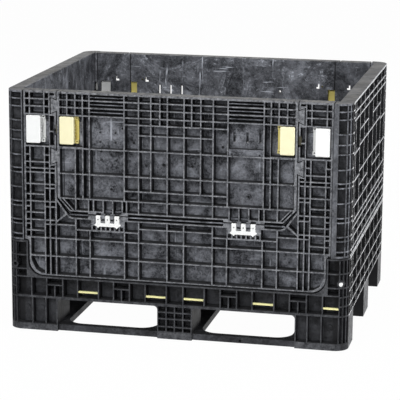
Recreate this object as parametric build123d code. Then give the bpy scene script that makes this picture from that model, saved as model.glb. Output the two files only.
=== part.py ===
"""Collapsible bulk container, 48 x 40 x 34 in, with a drop door in the front and back walls.

Millimetres, +Z up, the ground at z = 0, the front wall towards -Y. Everything is drawn once
for the front and the right-hand end; the back and the left are the same pieces turned half
a turn about Z, as the two sides of the container are the same moulding.
"""
import os
from math import asin, cos, degrees, radians, sin

from build123d import *

# ---- overall --------------------------------------------------------------------------
INCH = 25.4
LENGTH = 48 * INCH
DEPTH = 40 * INCH
HEIGHT = 34 * INCH
HALF_L = LENGTH / 2
HALF_D = DEPTH / 2
CORNER_R = 50.0

# ---- walls ----------------------------------------------------------------------------
RIB = 4.5                      # thickness of the stiffening ribs
SKIN = 6.0                     # inner skin behind the pockets
WALL_T = 46.0                  # front and back walls
RECESS = 8.0                   # outer face of a wall behind the faces of the corners
POCKET = WALL_T - SKIN
END_T = 50.0                   # end walls and the sides of the base
GAP = 4.0                      # clear line between parts that move past each other
RIM = 7.0                      # band left along the top

CORNER_DEPTH = 13.0            # of the shallow pockets round the corners
CORNER_LAST = 76.0             # angle from the front at which they end
CORNER_EDGE = 38.0             # and where that is, from the front

WALL_OUT = -HALF_D + RECESS
WALL_IN = WALL_OUT + WALL_T
END_IN = HALF_L - END_T
COLUMN_IN = HALF_L - 61.6      # inner side of the corner columns of the end walls
WALL_HALF = COLUMN_IN - 3.0
COLUMN_W = 121.0               # of a wall beside its door opening
CENTRE_RIB = 29.5              # half the spacing of the two ribs beside the middle
EDGE_RIB = 6.5                 # outermost rib line of the door inside its edge

# ---- base -----------------------------------------------------------------------------
RUNNER_H = 22.0                # bottom frame: three runners and the rails between their ends
RUNNER_OVER = 20.0             # of a runner past the sides of its feet, into the fork ways
RUNNER_OUT = HALF_L - 65.0     # outer side of the outer runners between their feet
RAIL_Y = HALF_D - 13.0         # outer face of the rails, set back between the feet
RAIL_D = 27.0
RAIL_R = 60.0                  # round inner corners between rails and runners
TUNNEL_TOP = 118.0
FLOOR_SKIN = 6.0
FLOOR_TOP = 165.0
SILL_TOP = 198.0
BASE_TOP = 326.0
FOOT_CENTRE = 62.0             # half length of the middle feet
FOOT_CORNER = HALF_L - 182.6   # where the corner feet start
FOOT_D = 150.0                 # front and back rows of feet, across the container
FOOT_MID = 65.0                # half of the middle row
TUNNEL_R = 14.0
FOOT_WALL = 7.0
EYE_X = 25.6                   # eye through each corner post, from the end and down from the top
EYE_Z = 88.0
EYE_R = 6.5
PLUG_DEEP = 14.0
DRAIN_X, DRAIN_Z = 232.0, 9.0  # small hole through each rail, right of the middle from outside
POST_IN = HALF_L - 75.6        # inner side of the corner posts
POST_R = 52.0
SILL_IN = WALL_IN - 2.0
SPLIT_Z = TUNNEL_TOP - TUNNEL_R  # the feet are drawn as solids of their own below here

# ---- wall outline ---------------------------------------------------------------------
WALL_BOTTOM = SILL_TOP + GAP
END_BOTTOM = BASE_TOP + 3.0
SHOULDER = END_BOTTOM + 2.0

# ---- door -----------------------------------------------------------------------------
DOOR_HALF = WALL_HALF - COLUMN_W
DOOR_BOTTOM = 433.0
DOOR_CUT_X = 51.0              # sloping lower corners
DOOR_CUT_Z = 55.0
DOOR_TRIM = 6.5                # the outer layer ends higher up, except at the hinges
HINGE_ZONE = 72.0              # half of the length that stays low there
DOOR_OUTER_T = 38.0            # the inner skin is set back to close on the wall's lip
LIP = 16.0
LIP_GAP = 2.0
EYELETS = [(51.0, 181.0), (158.0, 254.0), (158.0, 132.0)]  # blind holes in the skin, from x = 0
EYELET_R = 4.5                 # and from the door's lower edge
EYELET_DEEP = 3.5
PANEL_DEPTH = 26.0             # the left placard's panel below the outer face
PLACE_DEPTH = 30.0             # the slotted recess for the right placard
TONGUE_END = DOOR_HALF + 22.0
TONGUES = [(HEIGHT - 50.6, 34.0, 54.0), (HEIGHT - 229.6, 36.0, 56.0)]  # height, neck, flare

# ---- door hinges ----------------------------------------------------------------------
HINGE_X = 242.0
KNUCKLE_R = 6.5
AXIS_Y = -HALF_D + KNUCKLE_R
AXIS_Z = DOOR_BOTTOM - 8.0
PRONG_W = 16.0
PRONG_PITCH = 33.5
PIN_R = 3.0
FIT = 0.05                     # running fit round every pin
DOOR_SWEEP = 16.0              # relief in the door round the fixed prongs
BAR_TOP = AXIS_Z - 20.0
BAR_LOW = BAR_TOP - 12.0
BAR_HALF, BAR_POINT = 47.5, 7.5

# ---- wall hinges ----------------------------------------------------------------------
FOLD_R = 8.0
FOLD_PIN_R = 4.0
FOLD_Y = WALL_IN + FOLD_R + 2.0
FOLD_Z_FRONT = FLOOR_TOP + 17.0
STACK = 56.0                   # the back wall folds down on top of the front wall
FOLD_Z_BACK = FOLD_Z_FRONT + STACK
FOLD_X = [-430.0, -150.0, 150.0, 430.0]
LUG_W = 44.0
LUG_SIDE = 18.0
LUG_GAP = 1.0

END_PIN_R = 3.0
END_LUG_R = 6.0
END_AXIS_X = END_IN - END_LUG_R - 0.8
END_AXIS_Z = END_BOTTOM + 6.0
END_LUG_Y = [-330.0, -180.0, 180.0, 330.0]
END_LUG_W = 30.0
END_LUG_SIDE = 12.0

# ---- latches --------------------------------------------------------------------------
LATCH_TOP = HEIGHT - 87.6
LATCH_LOW = LATCH_TOP - 97.0
LATCH_FACE = 50.0              # raised face
LATCH_BASE = 12.0              # base strip beside it, on the inner side
LATCH_TRAVEL = 19.0
LATCH_FIT = 0.1                # running gap of a latch on its floor and its bolt in the slot
LATCH_DEPTH = 32.0             # floor of its pocket below the outer face
LATCH_PROUD = 6.0
LATCH_BASE_T = 4.0
BOLT_LOW = LATCH_LOW + 33.0
BOLT_TOP = BOLT_LOW + 30.0
BOLT_T = 12.0
BOLT_OUT = 19.0                # outer face of the bolt below the outer face of the wall
LATCH_EDGE = 10.0              # from a latch's outer side to the edge of its wall or door
WALL_LATCH_OUT = WALL_HALF - LATCH_EDGE
DOOR_LATCH_OUT = DOOR_HALF - LATCH_EDGE
WALL_BOLT_END = END_IN - 2.6
DOOR_BOLT_END = DOOR_HALF + 10.0
KEEPER_GAP = 4.0               # round a bolt in its keeper
POCKET_LOW = LATCH_LOW - 9.0
POCKET_TOP = LATCH_TOP + 5.0

# ---- rib lines ------------------------------------------------------------------------
TOP_ROWS = [HEIGHT - 82.6, HEIGHT - 54.6, HEIGHT - 28.6, HEIGHT - RIM + RIB / 2]

FRONT, BACK = "front", "back"


# ---- helpers --------------------------------------------------------------------------
def block(x0, x1, y0, y1, z0, z1):
    """A box between two opposite corners, given in any order."""
    mid = ((x0 + x1) / 2, (y0 + y1) / 2, (z0 + z1) / 2)
    return Pos(*mid) * Box(abs(x1 - x0), abs(y1 - y0), abs(z1 - z0))


def plate(points, y0, y1, rounds=()):
    """An outline in x, z carried from depth y0 to y1; rounds gives (x, z, radius) corners."""
    face = Polygon(*points, align=None)
    for x, z, radius in rounds:
        corner = face.vertices().sort_by_distance((x, z, 0))[0]
        face = fillet(corner, radius)
    plane = Plane(origin=(0, y0, 0), x_dir=(1, 0, 0), z_dir=(0, -1, 0))
    return extrude(plane * face, amount=y1 - y0, dir=(0, 1, 0))


def mirrored(points):
    """The outline of a half at +x, closed by its mirror image at -x."""
    return points + [(-x, z) for x, z in reversed(points)]


def rod_x(x0, x1, y, z, radius):
    """A round bar along X."""
    return Pos((x0 + x1) / 2, y, z) * Rot(0, 90, 0) * Cylinder(radius, x1 - x0)


def rod_y(y0, y1, x, z, radius):
    """A round bar along Y."""
    return Pos(x, (y0 + y1) / 2, z) * Rot(90, 0, 0) * Cylinder(radius, abs(y1 - y0))


def turned(shape):
    """The same piece on the other side of the container."""
    return Rot(0, 0, 180) * shape


def fused(parts):
    """One solid from overlapping or touching pieces."""
    first, *rest = parts
    return first + rest if rest else first


def fitted(first, last, low, high):
    """Carries rib lines marked between first and last to the room from low to high."""
    return lambda *marks: [low + (high - low) * (m - first) / (last - first) for m in marks]


def footprint(z0, z1):
    """The container's whole outline with its rounded corners, between two heights."""
    slab = block(-HALF_L, HALF_L, -HALF_D, HALF_D, z0, z1)
    return fillet(slab.edges().filter_by(Axis.Z), CORNER_R)


def corner_cells(turns, zs, depth):
    """Shallow pockets round the front right corner, between angles turned from the front."""
    x, y = HALF_L - CORNER_R, -HALF_D + CORNER_R
    half = degrees(RIB / 2 / CORNER_R)
    cells = []
    for first, last in zip(turns, turns[1:]):
        a, b = radians(first + half), radians(last - half)
        inner, outer = CORNER_R - depth, CORNER_R + 8.0
        corners = [(inner, a), (outer, a), (outer, b), (inner, b)]
        face = Polygon(*[(x + r * sin(t), y - r * cos(t)) for r, t in corners], align=None)
        for z0, z1 in zip(zs, zs[1:]):
            low = z0 + RIB / 2
            cells.append(Pos(0, 0, low) * extrude(face, amount=z1 - z0 - RIB, dir=(0, 0, 1)))
    return cells


def corner_turn(x):
    """The angle at which the rounded corner is x to the right of the middle."""
    return degrees(asin((x - HALF_L + CORNER_R) / CORNER_R))


def grid_x(xs, zs, depth, front=WALL_OUT):
    """Pockets sunk from a front face between neighbouring rib lines xs and zs."""
    half = RIB / 2
    return [
        block(a + half, b - half, front, front + depth, c + half, d - half)
        for a, b in zip(xs, xs[1:])
        for c, d in zip(zs, zs[1:])
        if b - a > RIB and d - c > RIB
    ]


def both(boxes_at):
    """The same list of pockets on the left and the right of the middle."""
    right = list(boxes_at)
    return right + [mirror(box, about=Plane.YZ) for box in right]


def save(shape, name):
    """Writes one node."""
    shape.label = name
    export_step(shape, os.path.join("parts", name + ".step"))


# ---- outlines -------------------------------------------------------------------------
def door_outline(grow):
    """The opening's outline, grown outwards by a clearance; used for door, wall and lip."""
    half = DOOR_HALF + grow
    low = DOOR_BOTTOM - grow
    top = HEIGHT + (1.0 if grow > 0 else 0.0)
    slope = 0.5 * grow
    return mirrored(
        [(half, top), (half, DOOR_BOTTOM + DOOR_CUT_Z - slope), (half - DOOR_CUT_X - slope, low)]
    )


def slope_x(z):
    """Where the door's sloping lower corner is at height z."""
    return DOOR_HALF - DOOR_CUT_X * (1 - (z - DOOR_BOTTOM) / DOOR_CUT_Z)


def beside_hinges(z0, z1, y0, y1, far):
    """Bars along the door's lower edge on both sides of each hinge, out to far."""
    spans = [(-(HINGE_X - HINGE_ZONE), HINGE_X - HINGE_ZONE), (HINGE_X + HINGE_ZONE, far),
             (-far, -(HINGE_X + HINGE_ZONE))]
    return [block(a, b, y0, y1, z0, z1) for a, b in spans]


def tongue_outlines(grow):
    """The flared tongues that lock the door's edge to the wall, or their sockets."""
    found = []
    for z, neck, flare in TONGUES:
        inner = DOOR_HALF - 1.0 if grow == 0 else DOOR_HALF
        right = [
            (inner, z - neck / 2 - grow),
            (TONGUE_END + grow, z - flare / 2 - grow),
            (TONGUE_END + grow, z + flare / 2 + grow),
            (inner, z + neck / 2 + grow),
        ]
        found += [right, [(-x, zz) for x, zz in reversed(right)]]
    return found


def wall_outline():
    """Front or back wall: straight sides, stepped in round the base's corner posts."""
    low = POST_IN - GAP
    return mirrored(
        [(WALL_HALF, HEIGHT), (WALL_HALF, SHOULDER), (low, SHOULDER), (low, WALL_BOTTOM)]
    )


# ---- latches --------------------------------------------------------------------------
def latch(outer, bolt_end):
    """A sliding latch at the right of the front: raised face, base strip, bolt."""
    face_in = outer - LATCH_FACE
    base_in = face_in - LATCH_BASE
    back = WALL_OUT + LATCH_DEPTH - LATCH_FIT
    front = WALL_OUT - LATCH_PROUD
    body = block(face_in, outer, front, back, LATCH_LOW, LATCH_TOP)
    body = fillet(body.edges().filter_by(Axis.Y), 4.0)
    body = chamfer(body.faces().sort_by(Axis.Y)[0].edges(), 1.5)
    strip = block(base_in, face_in + 1.0, back - LATCH_BASE_T, back, LATCH_LOW, LATCH_TOP)
    bolt_y = WALL_OUT + BOLT_OUT
    bolt = block(outer - 1.0, bolt_end, bolt_y, bolt_y + BOLT_T, BOLT_LOW, BOLT_TOP)
    tabs = [
        block(base_in, face_in + 1.0, back - 12.0, back, z, z + 14.0)
        for z in (LATCH_LOW, LATCH_TOP - 14.0)
    ]
    ribs = [
        block(face_in - 3.0, face_in + 1.0, back - 20.0, back, z, z + 2.5)
        for z in range(int(LATCH_LOW) + 22, int(LATCH_TOP) - 20, 11)
    ]
    whole = fused([body, strip, bolt] + tabs + ribs)
    holes = [
        rod_y(back - 13.0, back + 1.0, base_in + 6.0, z, 3.0)
        for z in (LATCH_LOW + 7.0, LATCH_TOP - 7.0)
    ]
    hollow = [
        block(face_in + 4, outer - 4, front + 5, back, z0, z1)
        for z0, z1 in ((LATCH_LOW + 4, LATCH_LOW + 19), (LATCH_TOP - 21, LATCH_TOP - 4))
    ]
    return whole - holes - hollow


def latch_pocket(outer, edge, window):
    """The pocket a latch slides in, the slot for its bolt, the window behind the latch, between
    two distances from its outer side, and the small hooked window with a dot beside it."""
    base_in = outer - LATCH_FACE - LATCH_BASE
    inner = base_in - LATCH_TRAVEL - 1.0
    floor = WALL_OUT + LATCH_DEPTH
    bolt_y = WALL_OUT + BOLT_OUT
    low = POCKET_TOP - 26.0
    return [
        block(inner, outer + 3.0, WALL_OUT, floor, POCKET_LOW, POCKET_TOP - RIB / 2),
        block(outer, edge + 1.0, bolt_y - LATCH_FIT, bolt_y + BOLT_T + LATCH_FIT,
              BOLT_LOW - LATCH_FIT, BOLT_TOP + LATCH_FIT),
        block(outer - window[0], outer - window[1], floor - 1.0, WALL_IN, POCKET_LOW + 30,
              POCKET_TOP - 28),
        block(inner + 2.0, base_in, floor - 1.0, WALL_IN - SKIN, low - 2.0, low + 20.0),
        block(inner + 3.5, base_in - 2.0, floor, WALL_IN + 1, low, low + 7.5),
        block(base_in - 8.0, base_in - 2.0, floor, WALL_IN + 1, low, low + 18.0),
        block(base_in + 5.0, base_in + 12.0, floor - 1.0, WALL_IN + 1, low + 6.0, low + 12.5),
    ]


# ---- door hinges ----------------------------------------------------------------------
def bracket(x):
    """The white hinge bracket on the wall below the door."""
    bar = plate(
        [
            (x - BAR_HALF, (BAR_LOW + BAR_TOP) / 2),
            (x - BAR_HALF + BAR_POINT, BAR_TOP),
            (x + BAR_HALF - BAR_POINT, BAR_TOP),
            (x + BAR_HALF, (BAR_LOW + BAR_TOP) / 2),
            (x + BAR_HALF - BAR_POINT, BAR_LOW),
            (x - BAR_HALF + BAR_POINT, BAR_LOW),
        ],
        -HALF_D,
        WALL_OUT,
    )
    pieces = [bar]
    for side in (-1, 1):
        at = x + side * PRONG_PITCH
        pieces.append(
            plate([(at - 6, BAR_LOW + 1), (at + 6, BAR_LOW + 1), (at, BAR_LOW - 6)], -HALF_D, WALL_OUT)
        )
    holes = []
    for step in (-1, 0, 1):
        at = x + step * PRONG_PITCH
        left, right = at - PRONG_W / 2, at + PRONG_W / 2
        pieces.append(block(left, right, -HALF_D, WALL_OUT, BAR_TOP - 1, AXIS_Z))
        pieces.append(block(left, right, -HALF_D, AXIS_Y + KNUCKLE_R, BAR_TOP + 8, AXIS_Z))
        pieces.append(rod_x(left, right, AXIS_Y, AXIS_Z, KNUCKLE_R))
        holes.append(rod_x(left - 1, right + 1, AXIS_Y, AXIS_Z, PIN_R + FIT))
        holes.append(rod_y(-HALF_D - 1, WALL_OUT + 6, at, AXIS_Z - 7.5, 2.7))
    return fused(pieces) - holes


def knuckles(x):
    """The two door knuckles that turn between the three prongs, and their bores."""
    solid, bores = [], []
    for side in (-1, 1):
        at = x + side * PRONG_PITCH / 2
        left, right = at - PRONG_W / 2, at + PRONG_W / 2
        solid.append(rod_x(left, right, AXIS_Y, AXIS_Z, KNUCKLE_R))
        solid.append(
            block(left, right, AXIS_Y - KNUCKLE_R, AXIS_Y + KNUCKLE_R, AXIS_Z, DOOR_BOTTOM + 0.5)
        )
        bores.append(rod_x(left - 1, right + 1, AXIS_Y, AXIS_Z, PIN_R + FIT))
    return solid, bores


def hinge_pin(x):
    """The pin through one bracket."""
    reach = PRONG_PITCH + PRONG_W / 2
    return rod_x(x - reach, x + reach, AXIS_Y, AXIS_Z, PIN_R)


# ---- doors ----------------------------------------------------------------------------
def door():
    """The drop door with its rib pattern, placard places, latch pockets and knuckles."""
    outer = plate(door_outline(0), WALL_OUT, WALL_OUT + DOOR_OUTER_T)
    inner = plate(door_outline(LIP_GAP - LIP), WALL_OUT + DOOR_OUTER_T, WALL_IN)
    tongues = [plate(o, WALL_OUT, WALL_OUT + DOOR_OUTER_T) for o in tongue_outlines(0)]
    body = fused([outer, inner] + tongues)

    at_x = fitted(29.5, 417.5, CENTRE_RIB, DOOR_HALF - EDGE_RIB)
    at_z = fitted(442.0, 781.0, DOOR_BOTTOM + 9, TOP_ROWS[0])
    c0, c1, c2, c3, c4, c5, c6, c7, c8, c9 = at_x(29.5, 56, 88, 131.5, 183, 308, 332, 359, 388,
                                                  417.5)
    r0, r1, r2, r3, r4, r5, r6, r7 = at_z(442, 486, 522, 574, 665, 721, 757, 781)
    edge_depth = DOOR_OUTER_T - 6.0
    pockets = grid_x([-c0, c0], TOP_ROWS, POCKET)
    pockets += grid_x([-c0, c0], [r0, r1, r2, r3, r4, r5, r6, r7], POCKET)
    half = grid_x([c0, c1, c2, c3, c4], TOP_ROWS, POCKET)
    half += grid_x([c0, c1, c2, c3, c4], [r6, r7], POCKET)
    half += grid_x([c0, c2, c3], [r4, r5, r6], POCKET)
    half += grid_x([c3, c4], [r4, r6], POCKET)
    half += grid_x([c0, c2, c3, c4], [r2, r3, r4], POCKET)
    half += grid_x([c0, c3, c4], [r1, r2], POCKET)
    half += grid_x([c4, c5], TOP_ROWS, POCKET)
    half += grid_x([c4, c5], [r1, r3, r4], POCKET)
    half += grid_x([c5, c6], [r1, r3, r4, r7], POCKET)
    half += grid_x([c6, c7], [r1, r3, r4], POCKET)
    half += grid_x([c5, c6, c7, c8], TOP_ROWS, POCKET)
    half += grid_x([c8, c9], TOP_ROWS, edge_depth)
    half += grid_x([c7, c9], [r3, r4], edge_depth)
    low = [c0, c3] + [HINGE_X + i for i in (-52.0, -17.5, 17.0, 52.0)]
    low += [max(HINGE_X + 70.0, c7 - 47.0), c7 - 0.5]
    half += grid_x(low, [r0, r1], POCKET - 4)
    half += grid_x(low[2:5], [DOOR_BOTTOM + 2, r0 + RIB], POCKET - 16)
    half += latch_pocket(DOOR_LATCH_OUT, DOOR_HALF, (31.0, 4.0))
    half += grid_x([c7, c9], [r1, r3], edge_depth)
    pockets += both(half)
    rib = RIB / 2
    # the toe in the sloping corner, with a ridge along the slope
    top, foot = r1 - rib, r0 + rib
    toe = [(c7 + 2, top), (slope_x(top) - 19, top), (slope_x(foot) - 19, foot), (c7 + 2, foot)]
    strip = [(slope_x(top) - 14, top), (slope_x(top) - 6, top), (slope_x(foot) - 6, foot),
             (slope_x(foot) - 14, foot)]
    for shape in (toe, strip):
        if shape[2][0] > shape[3][0]:
            pockets.append(plate(shape, WALL_OUT, WALL_OUT + edge_depth))
            flipped = [(-x, z) for x, z in reversed(shape)]
            pockets.append(plate(flipped, WALL_OUT, WALL_OUT + edge_depth))
    pockets += beside_hinges(DOOR_BOTTOM - 1, DOOR_BOTTOM + DOOR_TRIM, WALL_OUT,
                             WALL_OUT + DOOR_OUTER_T, DOOR_HALF)
    # placard places: a raised panel on the left, a slotted recess with a ledge on the right
    near, far = c4 + rib, c5 - rib
    ledge = r4 + 24.0
    pockets.append(block(-far, -near, WALL_OUT, WALL_OUT + PANEL_DEPTH, r4 + rib, r7 - rib))
    pockets.append(block(near, far, WALL_OUT, WALL_OUT + PLACE_DEPTH, ledge, r7 - rib))
    pockets.append(block(near, far, WALL_OUT, WALL_OUT + 7, r4 + rib, ledge))
    for x in fitted(0, 1, near, far)(0.125, 0.50, 0.875):
        pockets.append(block(x - 4, x + 4, WALL_OUT + 19, WALL_IN + 1, ledge + 20, ledge + 56))
    pockets.append(rod_y(WALL_OUT + PANEL_DEPTH - 1, WALL_IN + 1, -near - 7.75, r5 + 17, 5.5))
    body = body - pockets

    shelves = [
        block(x0 + 2, x1 - 2, WALL_OUT + 3, WALL_OUT + POCKET + 1, z - 1.5, z + 1.5)
        for x0, x1 in ((c4, c5), (-c5, -c4))
        for z in [(a + b) / 2 for a, b in zip(TOP_ROWS, TOP_ROWS[1:])]
    ]
    floor_low, floor_panel = WALL_OUT + POCKET, WALL_OUT + PANEL_DEPTH
    slot = -HINGE_X + 65.0
    shelves.append(block(slot, slot + RIB, WALL_OUT, floor_low, r0, r1))
    studs = []
    for x in (-far + 30.75, -near - 34.75):
        studs += [rod_y(floor_panel - 3, floor_panel + 1, x, r4 + z, 4.5) for z in (23, 57)]
        studs += [rod_y(floor_low - 6, floor_low + 1, x, r4 - z, 4.5) for z in (43, 13)]
    rings = []
    dials = (-near - 52.75, far - 54.75)
    for x in dials:
        rings.append(rod_y(floor_low - 6, floor_low + 1, x, r2 - 3, 8.5))
    solid, bores = [], []
    for x in (-HINGE_X, HINGE_X):
        more, holes = knuckles(x)
        solid += more
        bores += holes
    relief = [
        rod_x(x + s * PRONG_PITCH - PRONG_W / 2 - 0.75, x + s * PRONG_PITCH + PRONG_W / 2 + 0.75,
              AXIS_Y, AXIS_Z, DOOR_SWEEP)
        for x in (-HINGE_X, HINGE_X) for s in (-1, 0, 1)
    ]
    body = body - relief
    body = fused([body] + shelves + studs + rings + solid)
    centres = [rod_y(floor_low - 7, floor_low - 1, x, r2 - 3, 4.0) for x in dials]
    dots = [rod_y(WALL_OUT + 6, WALL_OUT + 9, x, r4 + 6, 2.5) for x in (near + 10.75, far - 12.75)]
    dots += [
        rod_y(floor_low - 1, floor_low + EYELET_DEEP, side * x, DOOR_BOTTOM + z, EYELET_R)
        for x, z in EYELETS for side in (-1, 1)
    ]
    return body - (bores + centres + dots)


# ---- front and back walls -------------------------------------------------------------
def wall(fold_z):
    """A folding wall with its opening, rib pattern, latch pockets and hinge lugs."""
    rounds = []
    for side in (-1, 1):
        rounds.append((side * (POST_IN - GAP), WALL_BOTTOM, POST_R))
        rounds.append((side * (POST_IN - GAP), SHOULDER, 12.0))
    body = plate(wall_outline(), WALL_OUT, WALL_IN, rounds)
    lip_y = WALL_IN - SKIN
    cuts = [
        plate(door_outline(GAP), WALL_OUT, lip_y),
        plate(door_outline(-LIP + LIP_GAP + LIP_GAP), lip_y, WALL_IN),
    ]
    cuts += [plate(o, WALL_OUT, lip_y) for o in tongue_outlines(GAP)]

    # columns beside the opening
    at_x = fitted(29.5, 431.0, CENTRE_RIB, DOOR_HALF + GAP + 3)
    c0, c3, c4, c5, c7, e0 = at_x(29.5, 131.5, 182.5, 307.5, 358.5, 431)
    e1, e2, e3, e4 = fitted(431.0, 541.5, e0, WALL_HALF - 3.5)(452.25, 471, 523.5, 541.5)
    at_z = fitted(339.0, 667.0, SHOULDER + 8, POCKET_LOW - 3)
    half = grid_x([e1, e2, e3, e4], TOP_ROWS, POCKET)
    half += grid_x([e2, e3], at_z(339, 364, 403, 429, 470, 495, 532, 574, 589, 611, 667), POCKET)
    half += grid_x([e3, e4], at_z(339, 364, 388, 403, 429, 451, 470, 495, 532, 574, 589, 611, 637,
                                  667), POCKET)
    half += grid_x([e1, e2], at_z(339, 388, 403, 451, 470, 518, 532, 574, 589, 611, 637, 667),
                   POCKET)
    half += grid_x([e0, e1], at_z(339, 388, 403, 451, 470, 518, 532, 574, 589, 602), POCKET)
    half += grid_x([e0, e1], [POCKET_LOW, (POCKET_LOW + POCKET_TOP) / 2 - 4, POCKET_TOP - 2], POCKET)
    half += grid_x([e0, e1], [HEIGHT - 17.1, TOP_ROWS[-1]], POCKET)
    # the field below the opening
    f0, f1, f2, f3, f4, f5 = fitted(204.0, 415.0, WALL_BOTTOM + 2, DOOR_BOTTOM - 18)(
        204, 273, 339, 374, 389, 415)
    half += grid_x([c0, c3], [f2, f4, f5], POCKET)
    half += grid_x([c0, c3, c4, c5, c7, e0, e1, e2], [f0, f1, f2], POCKET)
    half += grid_x([c3, c4, c5, c7], [f2, f3], POCKET)
    half += grid_x([c3, c4 + 1.5], [f3, f5], POCKET)
    half += grid_x([c5 - 7.5, c7], [f3, f5], POCKET)
    half += grid_x([c7, e0], [f2, f4], POCKET)
    sill = DOOR_BOTTOM - GAP
    far = DOOR_HALF - 62
    cuts += beside_hinges(f5 + RIB / 2, sill, WALL_OUT, WALL_OUT + POCKET, far)
    ledges = beside_hinges(sill - RIB, sill, WALL_OUT + 6, WALL_IN - 1, DOOR_HALF - 40)
    half += latch_pocket(WALL_LATCH_OUT, WALL_HALF, (43.0, 2.0))
    pitch = 16.5
    half += [
        block(HINGE_X + i * pitch - 5.5, HINGE_X + i * pitch + 5.5, WALL_OUT, WALL_OUT + 24,
              BAR_LOW - 15.5, BAR_LOW - 1)
        for i in range(-3, 4)
    ]
    cuts += both(half)
    cuts += grid_x([-c0, c0], [f0, f1, f2, f4, f5], POCKET)
    side_x, post_x = e2 + 2.5, POST_IN - 10
    corner = [(side_x, f2 - 2.5), (post_x, f2 - 2.5), (post_x, f1 + 2.5), (side_x, f1 + 2.5)]
    lower = [(side_x, f1 - 2.5), (post_x, f1 - 2.5), (post_x, f0 + 52), (post_x - 16, f0 + 18),
             (side_x + 12.5, f0 + 5), (side_x, f0 + 5)]
    # round the door's sloping corner: a channel, and two pockets parted by a slanting rib
    edge, low = DOOR_HALF, DOOR_BOTTOM
    channel = [(edge + 2.5, low + 53), (edge + 2.5, low + 47.5), (edge - 34, low - 1.5),
               (edge - 42.5, low - 11), (edge - 52, low - 15), (far, low - 15),
               (far, low - GAP + 1), (edge - 47, low - GAP + 1)]
    gore = [(edge + 4, low - 29.5), (edge + 4, low + 40.5), (edge - 27, low - 2.5)]
    under = [(c7 + 3.5, f4 + 2.5), (edge + 4, f4 + 2.5), (edge + 4, low - 36),
             (edge - 32.5, low - 6.5), (edge - 38.5, low - 16), (edge - 50, low - 20.5),
             (c7 + 3.5, low - 20.5)]
    for shape in (corner, lower, channel, gore, under):
        cuts.append(plate(shape, WALL_OUT, WALL_OUT + POCKET - 2))
        flipped = [(-x, z) for x, z in reversed(shape)]
        cuts.append(plate(flipped, WALL_OUT, WALL_OUT + POCKET - 2))
    # relief for the knuckles, and the keepers the door's bolts lie in
    reach = PRONG_PITCH + PRONG_W / 2 + 2.0
    for x in (-HINGE_X, HINGE_X):
        cuts.append(block(x - reach, x + reach, WALL_OUT, WALL_OUT + 10, AXIS_Z - 13,
                          DOOR_BOTTOM - GAP + 1))
    for side in (-1, 1):
        cuts.append(block(side * DOOR_HALF, side * (DOOR_BOLT_END + 2.5), WALL_OUT,
                          WALL_OUT + BOLT_OUT + BOLT_T + 3,
                          BOLT_LOW - KEEPER_GAP, BOLT_TOP + KEEPER_GAP))
    body = fused([body - cuts] + ledges)

    lugs, bores = [], []
    for x in FOLD_X:
        left, right = x - LUG_W / 2, x + LUG_W / 2
        lugs.append(rod_x(left, right, FOLD_Y, fold_z, FOLD_R))
        lugs.append(block(left, right, WALL_IN, FOLD_Y + FOLD_R, fold_z, fold_z + 46.0))
        bores.append(rod_x(left - 1, right + 1, FOLD_Y, fold_z, FOLD_PIN_R + FIT))
    return fused([body] + lugs) - bores


def fold_pins(fold_z):
    """The four pins a wall folds on."""
    reach = LUG_W / 2 + LUG_GAP + LUG_SIDE
    return Compound(
        children=[rod_x(x - reach, x + reach, FOLD_Y, fold_z, FOLD_PIN_R) for x in FOLD_X]
    )


def base_lugs(fold_z):
    """The lugs on the base beside each lug of a wall, with their bores."""
    solid, bores = [], []
    for x in FOLD_X:
        for side in (-1, 1):
            near = x + side * (LUG_W / 2 + LUG_GAP)
            left, right = sorted((near, near + side * LUG_SIDE))
            solid.append(rod_x(left, right, FOLD_Y, fold_z, FOLD_R))
            solid.append(
                block(left, right, WALL_IN + 1.5, FOLD_Y + FOLD_R, FLOOR_TOP - 1, fold_z)
            )
            solid.append(
                block(left, right, SILL_IN - 1, WALL_IN + 2, FLOOR_TOP - 1, min(SILL_TOP, fold_z))
            )
            bores.append(rod_x(left - 1, right + 1, FOLD_Y, fold_z, FOLD_PIN_R + FIT))
    return solid, bores


# ---- end walls ------------------------------------------------------------------------
def end_pocket(y0, y1, z0, z1, depth=END_T - 8.0):
    """A pocket sunk into the outer face of the right-hand end."""
    half = RIB / 2
    return block(HALF_L + 1, HALF_L - depth, y0 + half, y1 - half, z0 + half, z1 - half)


def end_lines():
    """The rib lines of an end on one side of its middle."""
    return fitted(65.0, 440.0, 65.0, HALF_D - 68)(65, 180, 295, 400, 440)


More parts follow.
